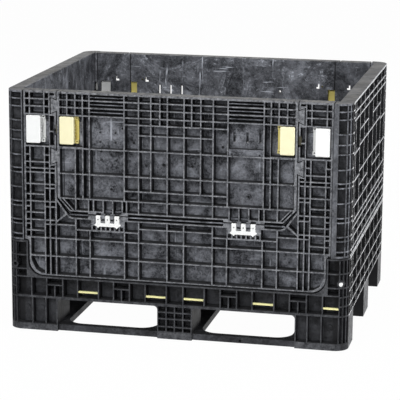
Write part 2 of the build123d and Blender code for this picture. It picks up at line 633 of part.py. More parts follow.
def end_wall():
    """The right-hand end wall: panel, corner columns, ribs, keepers and hinge lugs."""
    body = block(END_IN, HALF_L, -HALF_D, HALF_D, END_BOTTOM, HEIGHT)
    for side in (-1, 1):
        body += block(COLUMN_IN, HALF_L, side * HALF_D, side * (HALF_D - 52), END_BOTTOM, HEIGHT)
    corners = body.edges().filter_by(Axis.Z).sort_by(Axis.X)[-2:]
    body = fillet(corners, CORNER_R)
    rim = body.faces().sort_by(Axis.Z)[-1].edges()
    body = chamfer(rim, 1.5)
    at_z = fitted(351.0, 795.0, END_BOTTOM + 22, HEIGHT - 68.6)
    top = [HEIGHT - 68.6, HEIGHT - 40.6, HEIGHT - RIM + RIB / 2]
    y0, y1, y2, y3, y4 = end_lines()
    y5 = HALF_D - CORNER_EDGE
    foot = [END_BOTTOM + 4.0]
    bays = [
        ([-y4, -y3, -y2], foot + at_z(351, 388, 420, 443, 493, 583, 678, 795)),
        ([-y2, -y1, -y0], foot + at_z(351, 388, 420, 443, 493, 543, 593, 687, 741, 795)),
        ([-y0, y0], foot + at_z(351, 388, 420, 443, 493, 593, 687, 795)),
    ]
    cuts = []
    for ys, zs in bays:
        turns = [ys] if ys[0] == -ys[-1] else [ys, [-y for y in reversed(ys)]]
        for line in turns:
            for low, high in zip(line, line[1:]):
                cuts += [end_pocket(low, high, z0, z1) for z0, z1 in zip(zs, zs[1:])]
    tops = [-y4, -y3, -y2, -y1, -y0, y0, y1, y2, y3, y4]
    for low, high in zip(tops, tops[1:]):
        cuts += [end_pocket(low, high, z0, z1) for z0, z1 in zip(top, top[1:])]
    levels = foot + at_z(351, 388, 403, 453, 469, 520, 573, 589, 636, 689, 722, 758, 808)
    levels += [HEIGHT - 28.6, HEIGHT - RIM + RIB / 2]
    turn = corner_turn(HALF_L - 16.4)
    cells = corner_cells([turn, (turn + CORNER_LAST) / 2, CORNER_LAST], levels, CORNER_DEPTH)
    cuts += cells + [mirror(cell, about=Plane.XZ) for cell in cells]
    for low, high in ((y4, y5), (-y5, -y4)):
        cuts += [
            end_pocket(low, high, z0, z1, CORNER_DEPTH) for z0, z1 in zip(levels, levels[1:])
        ]
    for side, inner in ((-1, HALF_L - 45.0), (1, COLUMN_IN + 4.0)):
        for z0, z1 in zip(levels, levels[1:]):
            bolt = z1 > BOLT_LOW - KEEPER_GAP and z0 < BOLT_TOP + KEEPER_GAP
            depth = 22.0 if bolt else 34.0
            cuts.append(
                block(inner, HALF_L - 18.6, side * HALF_D, side * (HALF_D - depth),
                      z0 + RIB / 2, z1 - RIB / 2)
            )
        cuts.append(
            block(COLUMN_IN - 1, END_IN, side * (HALF_D - 16), side * (HALF_D - 53),
                  BOLT_LOW - KEEPER_GAP, BOLT_TOP + KEEPER_GAP)
        )
    body = body - cuts
    lugs, bores = [], []
    for y in END_LUG_Y:
        low, high = y - END_LUG_W / 2, y + END_LUG_W / 2
        lugs.append(rod_y(low, high, END_AXIS_X, END_AXIS_Z, END_LUG_R))
        lugs.append(block(END_AXIS_X - END_LUG_R, END_IN, low, high, END_AXIS_Z, END_AXIS_Z + 36))
        bores.append(rod_y(low - 1, high + 1, END_AXIS_X, END_AXIS_Z, END_PIN_R + FIT))
    return fused([body] + lugs) - bores


def end_pins():
    """The four pins of the right-hand end wall."""
    reach = END_LUG_W / 2 + LUG_GAP + END_LUG_SIDE
    return Compound(
        children=[
            rod_y(y - reach, y + reach, END_AXIS_X, END_AXIS_Z, END_PIN_R) for y in END_LUG_Y
        ]
    )


def end_base_lugs():
    """The lugs on the base beside each lug of the right-hand end wall."""
    solid, bores = [], []
    for y in END_LUG_Y:
        for side in (-1, 1):
            near = y + side * (END_LUG_W / 2 + LUG_GAP)
            low, high = sorted((near, near + side * END_LUG_SIDE))
            solid.append(rod_y(low, high, END_AXIS_X, END_AXIS_Z, END_LUG_R))
            solid.append(
                block(END_AXIS_X - END_LUG_R, END_IN - 1, low, high, BASE_TOP - 40, END_AXIS_Z)
            )
            solid.append(block(END_IN - 2, END_IN + 1, low, high, BASE_TOP - 40, BASE_TOP - 1))
            bores.append(rod_y(low - 1, high + 1, END_AXIS_X, END_AXIS_Z, END_PIN_R + FIT))
    return solid, bores


# ---- base -----------------------------------------------------------------------------
SILL_LINES = fitted(30.0, 580.0, 30.0, HALF_L - 29.6)(30, 106, 163, 221, 276, 352.5, 407, 466,
                                                      522, 580)
STRIP_BAYS = {1: [0, 4, 8], -1: [0, 4]}  # right and left of the middle, counted from it
CELL_BAYS = [2, 6]
STRIP_LOW = TUNNEL_TOP + 28.0
STRIP_TOP = STRIP_LOW + 6.0
SILL_POCKET = 44.0
FOOT_POCKET = 30.0


def sill_pockets():
    """Pockets in the front of the base: sill, corner posts and the fronts of the feet."""
    front = -HALF_D
    low, high = TUNNEL_TOP + 7, SILL_TOP - 3
    shelf = low + 44
    post = HALF_L - 30.6
    half = []
    for i, (a, b) in enumerate(zip(SILL_LINES, SILL_LINES[1:])):
        if i in CELL_BAYS:
            half += grid_x([a, (a + b) / 2, b], [low, shelf], SILL_POCKET, front)
            half += grid_x([a, b], [shelf, high], SILL_POCKET, front)
        else:
            half += grid_x([a, b], [low, high], SILL_POCKET, front)
    rows = fitted(195.0, 323.0, SILL_TOP - 3, BASE_TOP - 3)(195, 223, 273, 323)
    half += grid_x([POST_IN + 3, post], rows, SILL_POCKET, front)
    first, second = corner_turn(post), corner_turn(post + 13.0)
    turns = [second, (second + CORNER_LAST) / 2, CORNER_LAST]
    for levels in ([TUNNEL_TOP + 3, shelf - 12, SILL_TOP - 8] + rows[1:], [RUNNER_H, TUNNEL_TOP + 3]):
        half += corner_cells([first, second], levels, SILL_POCKET / 2)
        half += corner_cells(turns, levels, CORNER_DEPTH)
    corner = fitted(429.0, 579.0, FOOT_CORNER + 2, post)(429, 470, 519, 579)
    half += grid_x(corner, [RUNNER_H, TUNNEL_TOP + 4], FOOT_POCKET, front)
    rows = fitted(37.0, 120.0, RUNNER_H + 3, TUNNEL_TOP + 2)(37, 54, 79, 99.5, 120)
    half += grid_x([0.0, 30.0, FOOT_CENTRE - 1], rows, FOOT_POCKET, front)
    middle = grid_x([-30.0, 30.0], [low, high], SILL_POCKET, front)
    return both(half) + middle


def foot_rows():
    """Front and back of the three rows of feet."""
    return [(-HALF_D, -HALF_D + FOOT_D), (-FOOT_MID, FOOT_MID), (HALF_D - FOOT_D, HALF_D)]


def fork_tunnels():
    """The two tunnels through the front and the two through the ends."""
    cuts = []
    for side in (-1, 1):
        a, b = side * FOOT_CENTRE, side * FOOT_CORNER
        tunnel = block(a, b, -HALF_D - 1, HALF_D + 1, 0, TUNNEL_TOP)
        top = tunnel.edges().filter_by(Axis.Y).sort_by(Axis.Z)[-2:]
        cuts.append(fillet(top, TUNNEL_R))
        y0, y1 = side * FOOT_MID, side * (HALF_D - FOOT_D)
        cuts.append(block(-HALF_L - 1, HALF_L + 1, y0, y1, 0, TUNNEL_TOP))
    return cuts


def underside():
    """Hollows below the floor and up inside the feet, open at the bottom."""
    top = FLOOR_TOP - FLOOR_SKIN
    w = FOOT_WALL
    cuts = []
    feet_x = [(-END_IN + 3, -FOOT_CORNER), (-FOOT_CENTRE, FOOT_CENTRE), (FOOT_CORNER, END_IN - 3)]
    feet_y = foot_rows()
    feet_y[0] = (-HALF_D + 46, feet_y[0][1])
    feet_y[2] = (feet_y[2][0], HALF_D - 46)
    for x0, x1 in feet_x:
        for y0, y1 in feet_y:
            cuts.append(block(x0 + w, x1 - w, y0 + w, y1 - w, RUNNER_H, top))
    for side in (-1, 1):
        for y0, y1 in feet_y:
            cuts.append(block(side * (END_IN + w - 3), side * (HALF_L - w), y0 + w, y1 - w,
                              RUNNER_H, TUNNEL_TOP - w))
    bays_x = []
    for side in (-1, 1):
        lines = [side * (FOOT_CENTRE + i * (FOOT_CORNER - FOOT_CENTRE) / 4) for i in range(5)]
        lines = sorted(lines)
        bays_x += list(zip(lines, lines[1:]))
    bays_y = []
    for side in (-1, 1):
        span = HALF_D - FOOT_D - FOOT_MID
        lines = sorted(side * (FOOT_MID + i * span / 3) for i in range(4))
        bays_y += list(zip(lines, lines[1:]))
    r = RIB / 2 + 0.75
    for x0, x1 in bays_x:
        for y0, y1 in bays_y + feet_y:
            cuts.append(block(x0 + r, x1 - r, y0 + r, y1 - r, TUNNEL_TOP - 1, top))
    for x0, x1 in feet_x:
        for y0, y1 in bays_y:
            cuts.append(block(x0 + r, x1 - r, y0 + r, y1 - r, TUNNEL_TOP - 1, top))
    return cuts


def base():
    """The whole base moulding: floor, sides, sills, corner posts and nine feet."""
    body = shell = footprint(RUNNER_H, BASE_TOP)
    cavity = block(-END_IN, END_IN, SILL_IN, -SILL_IN, FLOOR_TOP, BASE_TOP + 1)
    window = [(POST_IN, BASE_TOP + 1), (POST_IN, SILL_TOP)]
    rounds = [(POST_IN, SILL_TOP, POST_R + GAP), (-POST_IN, SILL_TOP, POST_R + GAP)]
    front = plate(mirrored(window), -HALF_D - 1, SILL_IN + 1, rounds)
    body = body - [cavity, front, turned(front)]
    body = body - fork_tunnels()
    faces = sill_pockets()
    body = body - (faces + [turned(p) for p in faces])
    body = body - underside()
    side = []
    y0, y1, y2, y3, y4 = end_lines()
    lines = [-y4, -y3, -y2, -y1, -y0, y0, y1, y2, y3, y4]
    rows = fitted(121.0, 323.0, TUNNEL_TOP + 3, BASE_TOP - 3)(121, 157, 207, 262, 323)
    for low, high in zip(lines, lines[1:]):
        side += [end_pocket(low, high, z0, z1) for z0, z1 in zip(rows, rows[1:])]
    for low, high in ((y4, HALF_D - CORNER_EDGE), (CORNER_EDGE - HALF_D, -y4)):
        side += [end_pocket(low, high, z0, z1, CORNER_DEPTH) for z0, z1 in zip(rows, rows[1:])]
    body = body - (side + [turned(p) for p in side])
    eye_x, eye_z = HALF_L - EYE_X, BASE_TOP - EYE_Z
    hole = [rod_y(-HALF_D - 1, SILL_IN + 1, s * eye_x, eye_z, EYE_R) for s in (-1, 1)]
    ring = [rod_y(-HALF_D, SILL_IN, s * eye_x, eye_z, 13.0) & shell for s in (-1, 1)]
    floor = -HALF_D + FOOT_POCKET
    marks = [
        rod_y(floor - 3, floor + 1, s * x, (RUNNER_H + TUNNEL_TOP) / 2 + 5, 10.0)
        for s in (-1, 1) for x in (HALF_L - 115.6, HALF_L - 63.6)
    ]
    body = fused([body] + ring + [turned(p) for p in ring] + marks + [turned(p) for p in marks])
    solid, bores = [], []
    for fold_z, place in ((FOLD_Z_FRONT, lambda s: s), (FOLD_Z_BACK, turned)):
        more, holes = base_lugs(fold_z)
        solid += [place(s) for s in more]
        bores += [place(s) for s in holes]
    more, holes = end_base_lugs()
    for place in (lambda s: s, turned):
        solid += [place(s) for s in more]
        bores += [place(s) for s in holes]
    body = fused([body] + solid)
    return body - (bores + hole + [turned(p) for p in hole])


def corner_plug():
    """The plug in the eye of the front corner post on the right."""
    face = -HALF_D + 0.5
    return rod_y(face, face + PLUG_DEEP, HALF_L - EYE_X, BASE_TOP - EYE_Z, EYE_R - FIT)


def base_pieces():
    """The base moulding as blocks that meet face to face: deck, sills with their posts, sides
    and the rows of feet, so that the fork ways and the load space stay open between them."""
    whole = base()
    far, over = HALF_L + HALF_D, BASE_TOP + HEIGHT
    lug_y, lug_x = FOLD_Y + FOLD_R + 1, END_AXIS_X - END_LUG_R - 1
    deck = block(-END_IN, END_IN, SILL_IN, -SILL_IN, SPLIT_Z, FLOOR_TOP)
    sill = block(-END_IN, END_IN, -far, SILL_IN, SPLIT_Z, over)
    sill += block(-END_IN, END_IN, SILL_IN, lug_y, FLOOR_TOP, over)
    side = block(END_IN, far, -far, far, SPLIT_Z, over)
    side += block(lug_x, END_IN, lug_y, -lug_y, FLOOR_TOP, over)
    feet = [
        ("front", block(-far, far, -far, -HALF_D + FOOT_D + 1, 0, SPLIT_Z)),
        ("middle", block(-far, far, -FOOT_MID - 1, FOOT_MID + 1, 0, SPLIT_Z)),
        ("back", block(-far, far, HALF_D - FOOT_D - 1, far, 0, SPLIT_Z)),
    ]
    pieces = {
        "base_deck": whole & deck,
        "base_sill_front": whole & sill,
        "base_sill_back": whole & turned(sill),
        "base_side_right": whole & side,
        "base_side_left": whole & turned(side),
    }
    for name, room in feet:
        pieces[f"base_feet_{name}"] = whole & room
    return pieces


def bottom_frame():
    """The frame below the feet: runners front to back, rails between their ends. It is cut
    into pieces that meet face to face where the round corners between them end."""
    near, far = FOOT_CENTRE + RUNNER_OVER, FOOT_CORNER - RUNNER_OVER
    frame = [block(-RUNNER_OUT, RUNNER_OUT, -RAIL_Y, RAIL_Y, 0, RUNNER_H)]
    for x0, x1 in ((-HALF_L, -FOOT_CORNER), (-FOOT_CENTRE, FOOT_CENTRE), (FOOT_CORNER, HALF_L)):
        frame += [block(x0, x1, y0, y1, 0, RUNNER_H) for y0, y1 in foot_rows()]
    frame = fused(frame) & footprint(0, RUNNER_H)
    cuts = []
    for side in (-1, 1):
        hole = block(side * near, side * far, RAIL_D - RAIL_Y, RAIL_Y - RAIL_D, -1, RUNNER_H + 1)
        cuts.append(fillet(hole.edges().filter_by(Axis.Z), RAIL_R))
        x = side * DRAIN_X
        cuts.append(rod_y(side * (RAIL_Y + 1), side * (RAIL_Y - RAIL_D - 1), -x, DRAIN_Z, 5.0))
    # hollows from below in the runners, between their feet
    wall = FOOT_WALL + 1
    for x0, x1 in ((-RUNNER_OUT, -far), (-near, near), (far, RUNNER_OUT)):
        for (_, y0), (y1, _) in zip(foot_rows(), foot_rows()[1:]):
            cuts.append(block(x0 + wall, x1 - wall, y0, y1, -1, RUNNER_H - wall))
    frame = frame - cuts
    tall, wide = RUNNER_H + 1, HALF_L + 1
    inner, outer = near + RAIL_R, far - RAIL_R
    pieces = {
        "runner_right": block(outer, wide, -wide, wide, -1, tall),
        "runner_middle": block(-inner, inner, -wide, wide, -1, tall),
        "runner_left": block(-wide, -outer, -wide, wide, -1, tall),
    }
    for name, side in (("front", -1), ("back", 1)):
        halves = [block(s * inner, s * outer, 0, side * wide, -1, tall) for s in (-1, 1)]
        pieces["rail_" + name] = halves
    return {
        name: Compound(children=[frame & half for half in room]) if isinstance(room, list)
        else frame & room
        for name, room in pieces.items()
    }


def strips():
    """The yellow bars across five of the sill's pockets."""
    return Compound(
        children=[
            block(side * (SILL_LINES[i] + RIB / 2), side * (SILL_LINES[i + 1] - RIB / 2),
                  -HALF_D + 3, -HALF_D + 11, STRIP_LOW, STRIP_TOP)
            for side, bays in STRIP_BAYS.items() for i in bays
        ]
    )


# ---- everything -----------------------------------------------------------------------
def main():
    os.makedirs("parts", exist_ok=True)
    for name, piece in base_pieces().items():
        save(piece, name)
    for name, piece in bottom_frame().items():
        save(piece, name)
    right = end_wall()
    save(right, "end_wall_right")
    save(turned(right), "end_wall_left")
    save(end_pins(), "end_pins_right")
    save(turned(end_pins()), "end_pins_left")
    save(corner_plug(), "corner_plug_front")
    save(turned(corner_plug()), "corner_plug_back")
    leaf = door()
    for side, fold_z in ((FRONT, FOLD_Z_FRONT), (BACK, FOLD_Z_BACK)):
        place = (lambda s: s) if side == FRONT else turned
        save(place(wall(fold_z)), f"{side}_wall")
        save(place(fold_pins(fold_z)), f"{side}_fold_pins")
        save(place(leaf), f"{side}_door")
        save(place(strips()), f"{side}_strips")
        for hand, sign in (("right", 1), ("left", -1)):
            x = sign * HINGE_X
            save(place(bracket(x)), f"{side}_hinge_{hand}")
            save(place(hinge_pin(x)), f"{side}_hinge_pin_{hand}")
            white = latch(WALL_LATCH_OUT, WALL_BOLT_END)
            yellow = latch(DOOR_LATCH_OUT, DOOR_BOLT_END)
            if sign < 0:
                white = mirror(white, about=Plane.YZ)
                yellow = mirror(yellow, about=Plane.YZ)
            save(place(white), f"{side}_wall_latch_{hand}")
            save(place(yellow), f"{side}_door_latch_{hand}")


main()
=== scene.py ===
# %% [markdown]
# # A collapsible bulk container
# This lesson dresses a large plastic pallet container: a ribbed base on nine feet
# and a bottom frame, two end walls, two folding walls with a drop door each, sliding latches
# and hinge brackets. All of it is hard moulding, so the exact solids stay as they are, and the
# work here is in the finishes: how moulded plastic flows, scuffs, wears and gathers dust.

# %% Load the solids
import math

import bpy
import numpy as np
from mathutils import Matrix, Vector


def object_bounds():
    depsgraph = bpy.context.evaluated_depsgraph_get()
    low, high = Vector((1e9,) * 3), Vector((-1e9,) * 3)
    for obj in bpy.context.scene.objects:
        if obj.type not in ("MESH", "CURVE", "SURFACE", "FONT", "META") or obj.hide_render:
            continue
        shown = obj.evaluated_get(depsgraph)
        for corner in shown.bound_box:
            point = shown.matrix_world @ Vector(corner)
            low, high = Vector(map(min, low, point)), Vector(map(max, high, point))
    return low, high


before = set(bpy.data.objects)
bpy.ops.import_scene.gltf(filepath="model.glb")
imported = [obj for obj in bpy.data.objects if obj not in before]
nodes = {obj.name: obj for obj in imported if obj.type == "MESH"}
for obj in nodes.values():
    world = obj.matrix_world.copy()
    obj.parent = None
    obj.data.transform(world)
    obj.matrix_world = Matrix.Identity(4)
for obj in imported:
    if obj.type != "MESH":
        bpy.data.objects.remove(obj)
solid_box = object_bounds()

# %% [markdown]
# ## Camera
# The container is seen from far away with a long lens, a little from the right and from above.
# A camera is a frame of three directions: where it looks from, its right and its up. They are
# worked out from two angles and a small roll, and put into one matrix, so nothing has to be
# aimed by hand.

# %% Camera
TURN = math.radians(12.43)
TILT = math.radians(12.75)
ROLL = math.radians(0.40)
CAMERA_AT = (1.379, -6.360, 1.864)
LENS_MM = 160.6
SENSOR_MM = 36.0


def camera_matrix(at, turn, tilt, roll):
    """Backward is the unit vector at those angles; right is up x back; both turn by the roll."""
    back = np.array([
        math.sin(turn) * math.cos(tilt),
        -math.cos(turn) * math.cos(tilt),
        math.sin(tilt),
    ])
    right = np.cross((0.0, 0.0, 1.0), back)
    right /= np.linalg.norm(right)
    up = np.cross(back, right)
    matrix = np.eye(4)
    matrix[:3, 0] = math.cos(roll) * right + math.sin(roll) * up
    matrix[:3, 1] = math.cos(roll) * up - math.sin(roll) * right
    matrix[:3, 2] = back
    matrix[:3, 3] = at
    return matrix


camera_data = bpy.data.cameras.new("camera")
camera_data.lens = LENS_MM
camera_data.sensor_width = SENSOR_MM
camera_data.clip_end = 60.0
camera = bpy.data.objects.new("camera", camera_data)
bpy.context.scene.collection.objects.link(camera)
camera.matrix_world = Matrix(camera_matrix(CAMERA_AT, TURN, TILT, ROLL).tolist())
bpy.context.scene.camera = camera
print("camera at", tuple(round(v, 2) for v in camera.location))

# %% [markdown]
# ## Shader maths as expressions
# A finish is a formula over the surface. Written as nodes by hand it fills pages, so one small
# class wraps a socket and overloads the arithmetic: `1 - mask * 0.5` adds two Math nodes and
# links them. Everything that isn't arithmetic, such as a noise or a ramp, goes through `add`.

# %% A small language for shaders
class Wire:
    """A socket in a node tree; + - * and ** on it add Math nodes."""

    def __init__(self, shader, socket):
        self.shader = shader
        self.socket = socket

    def maths(self, operation, *others):
        values = {0: self}
        values.update({i + 1: other for i, other in enumerate(others)})
        return self.shader.add("ShaderNodeMath", {"operation": operation}, values)

    def __add__(self, other):
        return self.maths("ADD", other)

    def __sub__(self, other):
        return self.maths("SUBTRACT", other)

    def __mul__(self, other):
        return self.maths("MULTIPLY", other)

    def __pow__(self, other):
        return self.maths("POWER", other)

    def __rsub__(self, other):
        return self.shader.add("ShaderNodeMath", {"operation": "SUBTRACT"}, {0: other, 1: self})

    def __neg__(self):
        return 0.0 - self

    __radd__ = __add__
    __rmul__ = __mul__

    def size(self):
        return self.maths("ABSOLUTE")

    def least(self, other):
        return self.maths("MINIMUM", other)

    def most(self, other):
        return self.maths("MAXIMUM", other)


class Shader:
    """A material's node tree: add() makes any node from its settings and its sockets' values."""

    def __init__(self, name):
        self.material = bpy.data.materials.new(name)
        self.material.use_nodes = True
        self.tree = self.material.node_tree
        self.tree.nodes.clear()
        self.count = 0

    def add(self, kind, settings=None, values=None, out=0):
        node = self.tree.nodes.new(kind)
        node.location = (200 * (self.count // 8), -220 * (self.count % 8))
        self.count += 1
        for name, value in (settings or {}).items():
            setattr(node, name, value)
        for name, value in (values or {}).items():
            if isinstance(value, Wire):
                self.tree.links.new(value.socket, node.inputs[name])
            else:
                node.inputs[name].default_value = value
        return Wire(self, node.outputs[out])

    def axes(self, kind="Object"):
        """The three object coordinates, or with kind Normal the direction that a face looks in."""
        where = self.add("ShaderNodeTexCoord", out=kind)
        split = [self.add("ShaderNodeSeparateXYZ", values={0: where}, out=i) for i in range(3)]
        return where, split

    def noise(self, where, scale, detail=4.0, rough=0.55, warp=0.0):
        return self.add("ShaderNodeTexNoise", values={
            "Vector": where, "Scale": scale, "Detail": detail, "Roughness": rough,
            "Distortion": warp,
        })

    def stretch(self, where, scale, turn=(0.0, 0.0, 0.0)):
        return self.add("ShaderNodeMapping", values={
            "Vector": where, "Scale": scale, "Rotation": turn,
        })

    def between(self, value, low, high):
        """0 at low and 1 at high, with a smooth step from one to the other and flat beyond."""
        return self.add("ShaderNodeMapRange", {"interpolation_type": "SMOOTHSTEP"}, {
            "Value": value, "From Min": low, "From Max": high,
        })

    def blend(self, factor, first, second):
        """A colour that goes from first to second as factor goes from 0 to 1."""
        return self.add("ShaderNodeMix", {"data_type": "RGBA"}, {
            0: factor, 6: first, 7: second,
        }, out=2)

    def bump(self, height, strength, distance, under=None):
        values = {"Height": height, "Strength": strength, "Distance": distance}
        if under is not None:
            values["Normal"] = under
        return self.add("ShaderNodeBump", values=values)

    def finish(self, colour, roughness, normal=None, **fixed):
        """The Principled shader on the output; fixed sockets take plain numbers."""
        values = {"Base Color": colour, "Roughness": roughness}
        if normal is not None:
            values["Normal"] = normal
        values.update({name.replace("_", " "): value for name, value in fixed.items()})
        surface = self.add("ShaderNodeBsdfPrincipled", values=values)
        self.add_output(surface)
        return self.material

    def add_output(self, surface):
        out = self.tree.nodes.new("ShaderNodeOutputMaterial")
        self.tree.links.new(surface.socket, out.inputs["Surface"])


print("shader helpers ready")

# %% [markdown]
# ## Black structural foam
# The big mouldings are foamed polyethylene. It flows into the mould in swirls that stay visible
# as darker and lighter grey, the skin is slightly grained, and years of handling leave pale
# scuffs in the open fields, rubbed rib tops and dust on every ledge. Painted glints and highlights
# on rib tops and painted shade in pockets, seams and holes go over these. Each of these is a mask
# over the same object coordinates, so they line up from one moulding to the next.

# %% Greys of the moulding
SOOT = (0.013, 0.014, 0.017, 1.0)
CHARCOAL = (0.266, 0.276, 0.308, 1.0)
SCUFF = (0.600, 0.628, 0.700, 1.0)
# rib tops on the long sides: rubbed wear with painted glints
RUB_AND_GLINT = (0.290, 0.297, 0.315, 1.0)
# rib tops on the ends: painted highlight over the rub
RUB_AND_HIGHLIGHT = (0.800, 0.805, 0.820, 1.0)
WORN = (0.235, 0.224, 0.204, 1.0)
DUST = (0.080, 0.080, 0.079, 1.0)
# near-black for painted shade in pockets, seams, holes and the lower load space; it also darkens base
# and runner
NEAR_BLACK = (0.008, 0.008, 0.009, 1.0)

# %% Places on the container, in metres from its middle plane or from the ground
OUTER_WALL = 0.500
OUTER_D = solid_box[1][1]
OUTER_L = solid_box[1][0]
RIM_Z = solid_box[1][2]
INNER_Y, INNER_X = 0.4545, 0.5605
FOOT_TOP = 0.118
EYELETS = ((0.051, 0.614), (0.158, 0.687), (0.158, 0.565))      # on both halves of a door
EYELET_R = 0.0045
STUDS_X, STUDS_APART, STUDS_Z = -0.2475, 0.055, (0.622, 0.652, 0.688, 0.722)
STUD_R = 0.0032
DOTS = ((-0.238, 0.519, 0.0042), (0.251, 0.519, 0.0042), (0.196, 0.671, 0.003),
        (0.293, 0.671, 0.003))
DEEP_FROM, DEEP_TO = 0.640, 0.500
SEAM_X, SEAM_W, SEAM_Z = 0.409, 0.003, 0.450
SPOT_SOFT = 0.0008
PIT_DEPTH = (0.006, 0.010)


# %% Masks over the moulding
def band_mask(s, value, low, high, soft):
    """1 between low and high, falling to 0 within soft on both sides."""
    return s.between(value, low - soft, low) * s.between(value, high + soft, high)


def rib_top_mask(s, along, outer, normal):
    """1 on faces that look outwards and lie within a millimetre of the outermost plane."""
    return s.between(along.size(), outer - 0.0012, outer - 0.0004) * s.between(
        normal.size(), 0.5, 0.9)


def seam_shade_mask(s, x, y, z, ny, nz):
    """1 in the gap between door and wall, inside and on the rim, where painted shade goes."""
    skin = s.between(y.size(), INNER_Y - 0.02, INNER_Y - 0.01) * s.between(z, SEAM_Z - 0.002, SEAM_Z)
    return band_mask(s, x.size(), SEAM_X, SEAM_X, SEAM_W) * skin * s.between(
        ny.size() + nz.size(), 0.5, 0.9)


def spot_mask(s, across, up, radius):
    """1 within radius of a point, which lies at no distance across and up."""
    apart = (across * across + up * up) ** 0.5
    return s.between(apart, radius + SPOT_SOFT, radius)


def hole_shade_mask(s, x, y, z):
    """1 in the small holes and on the stud tips of a door; left is negative from outside."""
    across = -(x * y.maths("SIGN"))
    spots = [spot_mask(s, x.size() - at, z - height, EYELET_R) for at, height in EYELETS]
    pair = (across - STUDS_X).size() - STUDS_APART / 2
    spots += [spot_mask(s, pair, z - height, STUD_R) for height in STUDS_Z]
    spots += [spot_mask(s, across - at, z - height, radius) for at, height, radius in DOTS]
    return sum(spots[1:], spots[0]) * s.between(y.size(), INNER_Y, INNER_Y + 0.001)


def scuff_masks(s, where):
    """Cloudy patches, and long thin marks: a noise stretched along one direction and cut high."""
    patch = s.between(s.noise(where, 9.0, 8.0, 0.75, 0.5), 0.50, 0.70)
    up_marks = s.noise(s.stretch(where, (70.0, 70.0, 6.0), (0.0, 0.55, 0.0)), 1.0, 3.0, 0.6)
    cross_marks = s.noise(s.stretch(where, (7.0, 80.0, 95.0), (0.0, 0.25, 0.3)), 1.0, 3.0, 0.6)
    marks = s.between(up_marks, 0.63, 0.72).most(s.between(cross_marks, 0.64, 0.73))
    return patch, marks * s.between(s.noise(where, 7.0, 2.0), 0.42, 0.56)


def inner_mask(s, x, y, nx, ny):
    """1 on the smooth faces round the load space, which look inwards, and 0 elsewhere."""
    across = s.between(y.size(), INNER_Y + 0.001, INNER_Y) * s.between(ny.size(), 0.5, 0.9)
    along = s.between(x.size(), INNER_X + 0.001, INNER_X) * s.between(nx.size(), 0.5, 0.9)
    return across.most(along)


def rib_side_shade_mask(s, x, y, nx, ny):
    """High on the sides of the ribs inside the pockets, where painted shade goes."""
    front = s.between(y.size(), INNER_Y + 0.001, INNER_Y + 0.004) * s.between(ny.size(), 0.6, 0.3)
    ends = s.between(x.size(), INNER_X + 0.001, INNER_X + 0.004) * s.between(nx.size(), 0.6, 0.3)
    return front.most(ends * s.between(y.size(), INNER_Y, INNER_Y - 0.002) * 0.72)


# %% [markdown]
# ## From the bare moulding outwards
# The finish is built in layers, mostly in the order in which the real surface got them. First comes
# the swirl of the moulding itself. Scuffs go over the open fields, and on the inside a mottled bloom
# with flecks. The sides of the ribs get painted shade, their tops are rubbed by hands and by other
# containers and carry painted glints, and the rim is worn by stacking. Painted shade darkens the
# load space towards its floor, and the base and runner are darker all over. Last come dust on
# ledges, and painted shade in the seams and in the small holes of the doors.

# %% Layers of the finish, each over the colour it is given
def moulded(s, where, inner):
    """Dark and light swirls; the load space is darker. Gives the colour and the swirl mask."""
    swirl = s.between(s.noise(where, 5.5, 6.0, 0.62, 2.4), 0.36, 0.64)
    cloud = s.between(s.noise(where, 19.0, 5.0, 0.65, 0.7), 0.40, 0.62)
    fine = s.noise(where, 120.0, 5.0, 0.8, 0.6)
    flow = swirl * 0.40 + cloud * 0.44 + fine * 2.40 - 1.13
    return s.blend((flow * (1.0 - 0.60 * inner)).most(0.0), SOOT, CHARCOAL), swirl


def scuffed_over(s, body, where, inner, scuffed, bloomed):
    """Pale patches and marks; inside also the bloom, broken up into flecks."""
    patch, marks = scuff_masks(s, where)
    bloom = s.between(s.noise(where, 3.4, 8.0, 0.74, 3.2), 0.47, 0.66)
    fleck = s.between(s.noise(where, 75.0, 6.0, 0.8, 1.0), 0.50, 0.68)
    bloom = (bloom * (0.30 + 1.0 * fleck) + fleck * 0.16) * inner * bloomed
    worn_off = (patch * 0.36 + marks * (0.55 + 0.45 * inner)) * scuffed
    return s.blend(worn_off.most(bloom).least(1.0), body, SCUFF), patch, marks


def rubbed_over(s, body, where, at, facing, outer_y, outer_x, rubbed):
    """Paler tops of the ribs on the long sides, rubbed and with painted glints, and brighter ones on
    the ends, a painted highlight over the rub; the low feet stay dull, and the deep cells at the
    corners get painted shade."""
    (x, y, z), (nx, ny, nz) = at, facing
    handled_and_glint = (s.noise(where, 64.0, 6.0, 0.8) * 5.0 - 2.00).most(0.0)
    top = rib_top_mask(s, y, outer_y, ny)
    body = s.blend(top * 0.55, body, SOOT)
    # rubbed wear and painted glints on the rib tops of the long sides
    body = s.blend((top * handled_and_glint * rubbed).least(1.0), body, RUB_AND_GLINT)
    if outer_x is None:
        return body
    raised = s.between(z, FOOT_TOP, FOOT_TOP + 0.002) * 0.85 + 0.15
    # painted highlight over the rub on the rib tops of the ends, weak below the feet's top
    top = (rib_top_mask(s, x, outer_x, nx) * handled_and_glint * 1.35).least(1.0)
    body = s.blend(top * raised, body, RUB_AND_HIGHLIGHT)
    # painted shade in the deep cells of the corner columns, outside the load space
    shallow, deep = (outer_y - depth for depth in PIT_DEPTH)
    corner_pit_shade = s.between(y.size(), shallow, deep) * s.between(ny.size(), 0.5, 0.9)
    return s.blend(corner_pit_shade * s.between(x.size(), INNER_X - 0.010, INNER_X) * 0.8, body, NEAR_BLACK)


